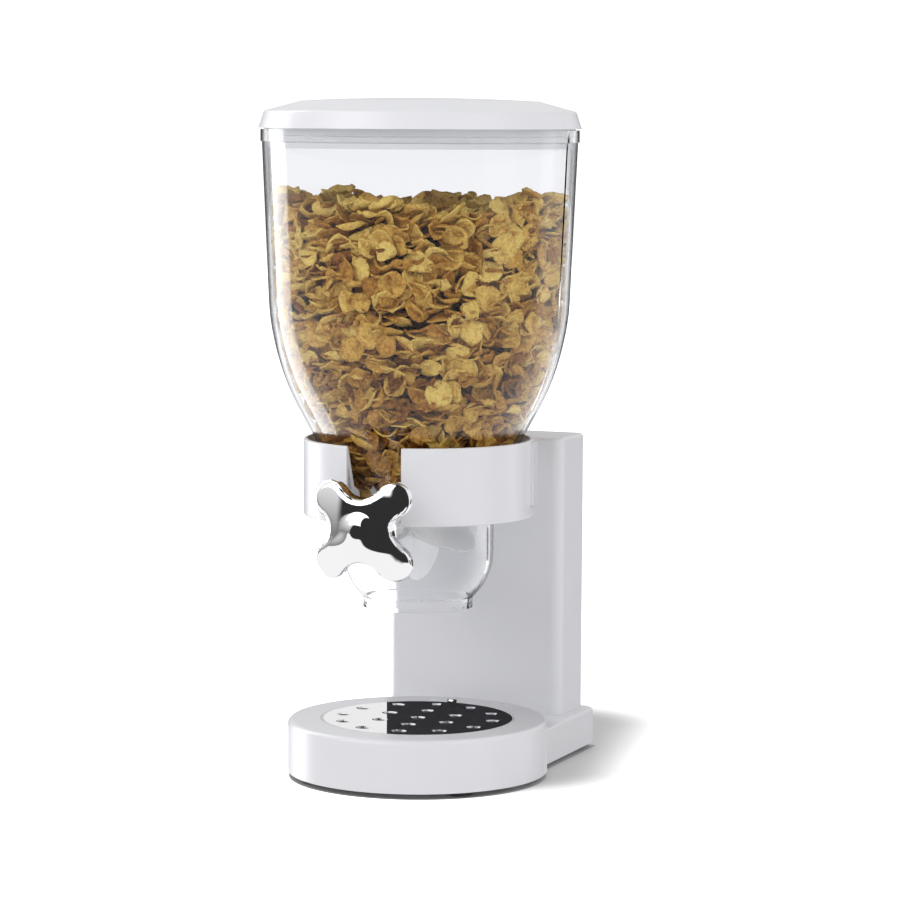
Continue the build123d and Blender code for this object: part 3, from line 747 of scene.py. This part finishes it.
def fits_pocket(points):
    """True if a flake is inside the blades' reach and off the blades at the sides of the upper pockets."""
    local = points - np.array((0, WHEEL_Y, WHEEL_Z))
    if np.linalg.norm(local, axis=1).max() >= BLADE_R - 0.001:
        return False
    off_top_blade = np.abs(local[:, 0]).min() > 0.0018
    above_side_blade = np.arctan2(local[:, 2], np.abs(local[:, 0])).min() > radians(36)
    return off_top_blade and above_side_blade and abs(local[:, 1]).max() < 0.033


def pocket_flakes():
    """Flakes in the wheel's two upper pockets, which turn with it."""
    tries = 260
    least_gap = 0.0070
    places = []
    flakes = []
    for pocket in (-1, 1):
        for _ in range(tries):
            turn = pi / 2 + pocket * random.uniform(0.22, 0.84)
            r = random.uniform(0.019, 0.030)
            y = random.uniform(-0.026, 0.026)
            place = Vector((r * cos(turn), WHEEL_Y + y, WHEEL_Z + r * sin(turn)))
            if any((place - other).length < least_gap for other in places):
                continue
            normal = some_normal(Vector((0, 0, 1)), 1.4)
            points, toast = placed_flake(place, normal, random.uniform(0.85, 1.1))
            if fits_pocket(points):
                places.append(place)
                flakes.append((points, toast))
    return flakes


def pour(name, flakes, body, tone_and_shade=TONE):
    """Joins flakes into one piece, with a lightness for each flake and the toast of each point. Deeper layers
    are given a lower lightness, a painted shade.
    """
    count = len(FLAKE_KINDS[0][0])
    points = np.concatenate([points for points, _ in flakes])
    faces = [tuple(i + k * count for i in face) for k in range(len(flakes)) for face in FLAKE_FACES]
    piece = new_piece(name, points, faces, body, FLAKE)
    heights = np.array([points[:, 2].mean() for points, _ in flakes])
    rise = (heights - HEAP_LOW) / (HEAP_TOP - HEAP_LOW)
    tones = np.clip(random.normal(tone_and_shade, TONE_VARIATION, len(flakes)) + TONE_RISE * rise, 0.02, 1.0)
    toasts = np.concatenate([toast for _, toast in flakes])
    for key, values in (("tone_and_shade", np.repeat(tones, count)), ("toast", toasts)):
        attribute = piece.data.attributes.new(key, "FLOAT", "POINT")
        attribute.data.foreach_set("value", values.astype(np.float32))


def make_core():
    """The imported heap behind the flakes, kept well inside them."""
    spokes, levels = 48, 30
    bump = 0.0015
    low = BLADES_HIGH.z + 0.004
    points = []
    for z in np.linspace(low, HEAP_TOP - 0.014, levels):
        for j in range(spokes):
            turn = 2 * pi * j / spokes
            bumps = bump * sin(7 * turn + z * 400) + bump * sin(11 * turn - z * 310)
            r = float(wall_radius(z)) - CORE_DEPTH + bumps
            points.append((AXIS.x + r * cos(turn), AXIS.y + r * sin(turn), z))
    points += [(AXIS.x, AXIS.y, low), (AXIS.x, AXIS.y, HEAP_TOP - 0.012)]
    new_piece("cereal_heap_core", points, closed_tube_faces(levels, spokes), "canister", CORE_SHADE)


def make_cereal():
    """All flakes and the core. Layers further in are darker, a painted shade like that of the gaps between
    flakes.
    """
    outer = wall_flakes(inward=0.0, spacing=0.0097, most_tilt=0.80, flat_share=0.38)
    half = len(outer) // 2
    pour("cereal_flakes_lower", outer[:half], "canister")
    pour("cereal_flakes_upper", outer[half:], "canister")
    # painted shade: the second and third layers start darker, so deeper flakes look shaded
    second = wall_flakes(inward=0.006, spacing=0.0102, most_tilt=1.1, flat_share=0.4)
    pour("cereal_flakes_second", second, "canister", TONE - 0.22)
    third = wall_flakes(inward=0.012, spacing=0.0112, most_tilt=1.3, flat_share=0.4)
    pour("cereal_flakes_third", third, "canister", TONE - 0.45)
    top = top_flakes(drop=0.0, spacing=0.0092) + top_flakes(drop=0.005, spacing=0.0100)
    pour("cereal_flakes_top", top, "canister")
    pour("cereal_flakes_wheel", pocket_flakes(), "paddle_wheel")
    make_core()


make_cereal()

# ---- Studio ----

# the photograph's view, fitted to the object's edges
VIEW_AZIMUTH = radians(23.1)  # from the front towards the right
VIEW_DISTANCE = 4.966 * HEIGHT
EYE_HEIGHT = 0.98 * HEIGHT
PITCH = radians(5.7)  # downwards
YAW = radians(0.53)
ROLL = radians(0.3)
LENS = 135.6  # mm
SENSOR = 36


def make_camera():
    camera = bpy.data.objects.new("camera", bpy.data.cameras.new("camera"))
    camera.data.lens = LENS
    camera.data.sensor_width = SENSOR
    camera.data.clip_end = 50
    place = AXIS + Vector((sin(VIEW_AZIMUTH), -cos(VIEW_AZIMUTH), 0)) * VIEW_DISTANCE
    place.z = EYE_HEIGHT
    turn = Matrix.Rotation(VIEW_AZIMUTH - YAW, 4, "Z") @ Matrix.Rotation(pi / 2 - PITCH, 4, "X")
    camera.matrix_world = Matrix.Translation(place) @ turn @ Matrix.Rotation(ROLL, 4, "Z")
    bpy.context.scene.collection.objects.link(camera)
    bpy.context.scene.camera = camera


def make_floor():
    """A wide round sheet of paper. Reflections don't show it, the world has a ground for them instead."""
    radius, sides = 7.0, 64
    turns = [2 * pi * k / sides for k in range(sides)]
    corners = [(radius * cos(turn), radius * sin(turn), 0) for turn in turns]
    floor = new_mesh("floor", corners, [range(sides)], floor_paper(), smooth=False)
    floor.visible_glossy = False


def make_flag():
    """A black card before the column, seen only in reflections. It makes the plate's dark half."""
    column_low, column_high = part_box("column_shell")
    y = column_low.y - 0.003
    left, right = column_low.x, column_high.x + 0.01
    low, high = TRAY_HIGH.z + 0.001, TRAY_HIGH.z + 0.047
    corners = [(left, y, low), (right, y, low), (right, y, high), (left, y, high)]
    r = Recipe(bpy.data.materials.new("flag_black"))
    black = r.finish(r.add("BsdfDiffuse", {"Color": (0.04, 0.04, 0.044, 1)}))
    flag = new_mesh("flag", corners, [(0, 1, 2, 3)], black, smooth=False)
    flag.visible_camera = False
    flag.visible_diffuse = False
    flag.visible_shadow = False
    flag.visible_transmission = False


def make_lamp(name, place, size, power):
    """A square lamp that shines at the object's middle and is itself seen by nothing."""
    light = bpy.data.lights.new(name, "AREA")
    light.size = size
    light.energy = power
    lamp = bpy.data.objects.new(name, light)
    lamp.location = place
    lamp.rotation_mode = "QUATERNION"
    lamp.rotation_quaternion = (Vector((0, 0, HEIGHT / 2)) - Vector(place)).to_track_quat("-Z", "Y")
    lamp.visible_camera = False
    lamp.visible_glossy = False
    lamp.visible_transmission = False
    bpy.context.scene.collection.objects.link(lamp)


def studio_glow(r, azimuth, height):
    """What reflections see in a direction given in degrees: the brightness of a ground, walls and windows."""
    # each window's left, right, low and high edge, the softness of its edges and its brightness
    windows = (
        (-116.0, -92.0, -40.0, 55.0, 2.0, 6.0),
        (-60.0, -4.0, 15.0, 62.0, 1.5, 1.8),
        (70.0, 96.0, -20.0, 50.0, 4.0, 0.9),
        (122.0, 138.0, -40.0, 45.0, 4.0, 1.1),
    )
    least = 0.03

    def band(value, low, high, soft):
        rise = r.ramp(value, low - soft, low + soft)
        return r.maths("MULTIPLY", rise, r.ramp(value, high + soft, high - soft))

    # the ground's edge is high at the left, low at the front right and level again further round
    edge_left = r.spread(azimuth, -7.0, -23.0, -50.0, 3.0)
    edge_right = r.spread(azimuth, -23.0, -10.0, 3.0, 60.0)
    above_ground = r.maths("SUBTRACT", height, r.maths("MAXIMUM", edge_left, edge_right))
    ground = r.maths("MULTIPLY", r.ramp(above_ground, 0.0, -3.0), 0.95)
    behind = r.ramp(r.maths("ABSOLUTE", azimuth), 62.0, 95.0)
    rear = r.maths("MULTIPLY", behind, r.spread(height, 0.0, 0.84, 5.5, 8.5))
    left = band(azimuth, -92.0, -37.0, 2.5)
    wall = r.maths("MULTIPLY", left, r.spread(height, 0.2, 0.9, -8.0, 20.0))
    glow = r.maths("MAXIMUM", r.maths("MAXIMUM", ground, rear), wall)
    for west, east, low, high, soft, brightness in windows:
        pane = r.maths("MULTIPLY", band(azimuth, west, east, soft), band(height, low, high, soft))
        glow = r.maths("MAXIMUM", glow, r.maths("MULTIPLY", pane, brightness))
    return r.maths("ADD", glow, least)


def make_world():
    """Plain white for the camera and through clear walls, a dimmer sky as light, a studio in reflections."""
    r = Recipe(bpy.data.worlds.new("studio"))
    way = r.add("TexCoord", output="Generated")
    x, y, z = (r.add("SeparateXYZ", {0: way}, output=axis) for axis in "XYZ")
    # 0 at the front, more towards the right
    azimuth = r.maths("DEGREES", r.maths("ARCTAN2", x, r.maths("MULTIPLY", y, -1.0)))
    height = r.maths("DEGREES", r.maths("ARCSINE", z))

    def sky(strength, colour=(1.0, 1.0, 1.0, 1.0)):
        return r.add("Background", {"Color": colour, "Strength": strength})

    def special(ray, usual, own):
        """A kind of ray sees its own sky and all others see the usual one."""
        return r.add("MixShader", {0: ray, 1: usual, 2: own})

    through = r.add("LightPath", output="Is Transmission Ray")
    diffuse = r.add("LightPath", output="Is Diffuse Ray")
    glossy = r.add("LightPath", output="Is Glossy Ray")
    plain = special(through, sky(1.25), sky(1.0, (0.985, 0.985, 1.0, 1.0)))
    light = sky(r.spread(height, 0.67, 0.42, 15.0, 80.0), (0.99, 0.99, 1.0, 1.0))
    lit = special(diffuse, plain, light)
    mirrored = r.maths("MULTIPLY", glossy, r.maths("SUBTRACT", 1.0, through))
    shown = special(mirrored, lit, sky(studio_glow(r, azimuth, height)))
    bpy.context.scene.world = r.finish(shown, "OutputWorld")


make_camera()
make_floor()
make_flag()
make_world()
make_lamp("key", (-0.85, -1.25, 1.2), 0.8, 10)
make_lamp("fill", (1.5, -0.7, 1.2), 1.0, 9)

scene = bpy.context.scene
scene.view_settings.view_transform = "Standard"
scene.cycles.max_bounces = 16
scene.cycles.transmission_bounces = 12
scene.cycles.transparent_max_bounces = 16
